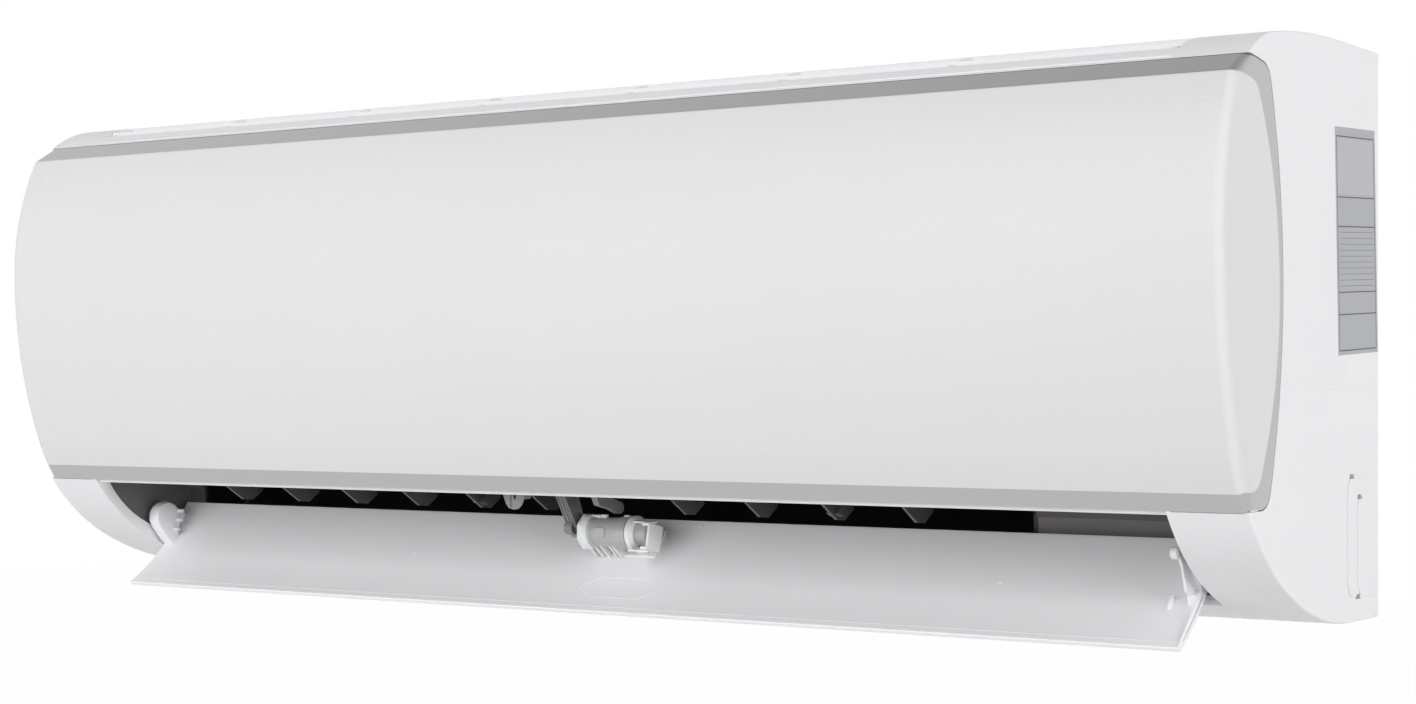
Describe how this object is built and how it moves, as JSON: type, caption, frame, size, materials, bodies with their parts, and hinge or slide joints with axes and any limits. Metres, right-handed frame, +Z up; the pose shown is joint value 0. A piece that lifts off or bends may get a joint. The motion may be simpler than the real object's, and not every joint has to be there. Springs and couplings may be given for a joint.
{
  "type": "mini split indoor unit",
  "caption": "Wall-hung mini split indoor unit: glossy front panel with a silver band, top inlet grille, open air flap over upright vanes, coil, crossflow fan, filters and wall plate",
  "frame": {"origin": "on the wall plane behind the unit, at its mid width and the casing's mid height", "axes": "+X along the unit to its right end seen from the room, +Y into the wall, +Z up"},
  "size_m": [0.8, 0.2053, 0.2955],
  "materials": {
    "panel_white": "gloss",
    "casing_white": "satin",
    "silver_band": "metallic satin",
    "casing_grey": "matte",
    "duct_dark": "matte",
    "fan_black": "matte",
    "filter_white": "matte",
    "filter_net": "woven",
    "clip_clear": "frosted",
    "motor_white": "satin",
    "terminal_white": "satin",
    "button_white": "gloss",
    "board_green": "gloss",
    "soft_rubber": "matte",
    "fin_stock": "satin",
    "tube_metal": "satin",
    "nut_metal": "satin",
    "galvanised": "satin",
    "shaft_steel": "brushed",
    "screw_steel": "brushed"
  },
  "bodies": {
    "frame": {"bearing_holder": "soft_rubber", "board_components": "motor_white", "clamp_screws": "screw_steel", "coil_hairpins": "tube_metal", "coil_plates": "galvanised", "coil_sensor": "nut_metal", "display_unit": "filter_white", "drain_pan": "duct_dark", "drain_plug": "soft_rubber", "drain_spouts": "casing_grey", "electrical_box": "casing_grey", "electrical_cover": "galvanised", "fan_bearing": "nut_metal", "fan_motor": "motor_white", "fins_front_lower": "fin_stock", "fins_front_upper": "fin_stock", "fins_rear": "fin_stock", "flap_bracket": "casing_grey", "flap_motor": "galvanised", "flare_nuts": "nut_metal", "frame_screws": "screw_steel", "front_casing": "casing_white", "gas_pipe": "tube_metal", "inlet_grille": "casing_white", "liquid_pipe": "tube_metal", "main_board": "board_green", "motor_clamp": "casing_grey", "motor_rubbers": "soft_rubber", "outlet_duct": "duct_dark", "pipe_clamp": "casing_grey", "rear_chassis": "duct_dark", "return_bends": "tube_metal", "room_sensor": "fan_black", "terminal_block": "terminal_white", "wall_plate": "galvanised"},
    "front_panel": {"front_panel": "panel_white", "panel_trim": "silver_band"},
    "filter_left": {"filter_frame_left": "filter_white", "filter_mesh_left": "filter_net"},
    "filter_right": {"filter_frame_right": "filter_white", "filter_mesh_right": "filter_net"},
    "fan": {"fan_wheel": "fan_black", "fan_shaft": "shaft_steel", "motor_shaft": "shaft_steel"},
    "flap": {"flap": "casing_white", "flap_clip": "clip_clear", "flap_motor_shaft": "shaft_steel"},
    "button": {"emergency_button": "button_white"},
    "link_left": {"vane_link_left": "duct_dark"},
    "link_right": {"vane_link_right": "duct_dark"},
    "vane_01": {"vane_01": "duct_dark"},
    "vane_02": {"vane_02": "duct_dark"},
    "vane_03": {"vane_03": "duct_dark"},
    "vane_04": {"vane_04": "duct_dark"},
    "vane_05": {"vane_05": "duct_dark"},
    "vane_06": {"vane_06": "duct_dark"},
    "vane_07": {"vane_07": "duct_dark"},
    "vane_08": {"vane_08": "duct_dark"},
    "vane_09": {"vane_09": "duct_dark"},
    "vane_10": {"vane_10": "duct_dark"}
  },
  "joints": [
    {"name": "panel_hinge", "type": "hinge", "parent": "frame", "child": "front_panel", "pos_m": [0, -0.174, 0.1155], "axis": [-1, 0, 0], "range_deg": [0, 45]},
    {"name": "filter_left_lift", "type": "hinge", "parent": "frame", "child": "filter_left", "pos_m": [0, -0.06, 0], "axis": [-1, 0, 0], "range_deg": [0, 4]},
    {"name": "filter_right_lift", "type": "hinge", "parent": "frame", "child": "filter_right", "pos_m": [0, -0.06, 0], "axis": [-1, 0, 0], "range_deg": [0, 4]},
    {"name": "fan_spin", "type": "hinge", "parent": "frame", "child": "fan", "pos_m": [0, -0.086, -0.034], "axis": [1, 0, 0], "continuous": true},
    {"name": "flap_swing", "type": "hinge", "parent": "frame", "child": "flap", "pos_m": [0, -0.121, -0.108], "axis": [1, 0, 0], "range_deg": [-78, 8]},
    {"name": "button_press", "type": "slide", "parent": "frame", "child": "button", "axis": [0, 1, 0], "range_m": [0, 0.0015], "stiffness_N_per_m": 300},
    {"name": "vane_01_turn", "type": "hinge", "parent": "frame", "child": "vane_01", "pos_m": [-0.289, -0.15021, -0.06779], "axis": [0, 0.6459, -0.7634], "range_deg": [-30, 30]},
    {"name": "vane_02_turn", "type": "hinge", "parent": "frame", "child": "vane_02", "pos_m": [-0.2406, -0.15021, -0.06779], "axis": [0, 0.6459, -0.7634], "range_deg": [-30, 30]},
    {"name": "vane_03_turn", "type": "hinge", "parent": "frame", "child": "vane_03", "pos_m": [-0.1922, -0.15021, -0.06779], "axis": [0, 0.6459, -0.7634], "range_deg": [-30, 30]},
    {"name": "vane_04_turn", "type": "hinge", "parent": "frame", "child": "vane_04", "pos_m": [-0.1438, -0.15021, -0.06779], "axis": [0, 0.6459, -0.7634], "range_deg": [-30, 30]},
    {"name": "vane_05_turn", "type": "hinge", "parent": "frame", "child": "vane_05", "pos_m": [-0.0954, -0.15021, -0.06779], "axis": [0, 0.6459, -0.7634], "range_deg": [-30, 30]},
    {"name": "vane_06_turn", "type": "hinge", "parent": "frame", "child": "vane_06", "pos_m": [-0.047, -0.15021, -0.06779], "axis": [0, 0.6459, -0.7634], "range_deg": [-30, 30]},
    {"name": "vane_07_turn", "type": "hinge", "parent": "frame", "child": "vane_07", "pos_m": [0.0498, -0.15021, -0.06779], "axis": [0, 0.6459, -0.7634], "range_deg": [-30, 30]},
    {"name": "vane_08_turn", "type": "hinge", "parent": "frame", "child": "vane_08", "pos_m": [0.0982, -0.15021, -0.06779], "axis": [0, 0.6459, -0.7634], "range_deg": [-30, 30]},
    {"name": "vane_09_turn", "type": "hinge", "parent": "frame", "child": "vane_09", "pos_m": [0.1466, -0.15021, -0.06779], "axis": [0, 0.6459, -0.7634], "range_deg": [-30, 30]},
    {"name": "vane_10_turn", "type": "hinge", "parent": "frame", "child": "vane_10", "pos_m": [0.195, -0.15021, -0.06779], "axis": [0, 0.6459, -0.7634], "range_deg": [-30, 30]},
    {"name": "link_left_pivot", "type": "hinge", "parent": "vane_01", "child": "link_left", "pos_m": [-0.289, -0.11063, -0.0867], "axis": [0, 0.6459, -0.7634], "range_deg": [-30, 30]},
    {"name": "link_right_pivot", "type": "hinge", "parent": "vane_07", "child": "link_right", "pos_m": [0.0498, -0.11063, -0.0867], "axis": [0, 0.6459, -0.7634], "range_deg": [-30, 30]}
  ],
  "couplings": [
    {"joint": "vane_02_turn", "follows": "vane_01_turn", "ratio": 1},
    {"joint": "vane_03_turn", "follows": "vane_01_turn", "ratio": 1},
    {"joint": "vane_04_turn", "follows": "vane_01_turn", "ratio": 1},
    {"joint": "vane_05_turn", "follows": "vane_01_turn", "ratio": 1},
    {"joint": "vane_06_turn", "follows": "vane_01_turn", "ratio": 1},
    {"joint": "vane_08_turn", "follows": "vane_07_turn", "ratio": 1},
    {"joint": "vane_09_turn", "follows": "vane_07_turn", "ratio": 1},
    {"joint": "vane_10_turn", "follows": "vane_07_turn", "ratio": 1},
    {"joint": "link_left_pivot", "follows": "vane_01_turn", "ratio": -1},
    {"joint": "link_right_pivot", "follows": "vane_07_turn", "ratio": -1}
  ]
}
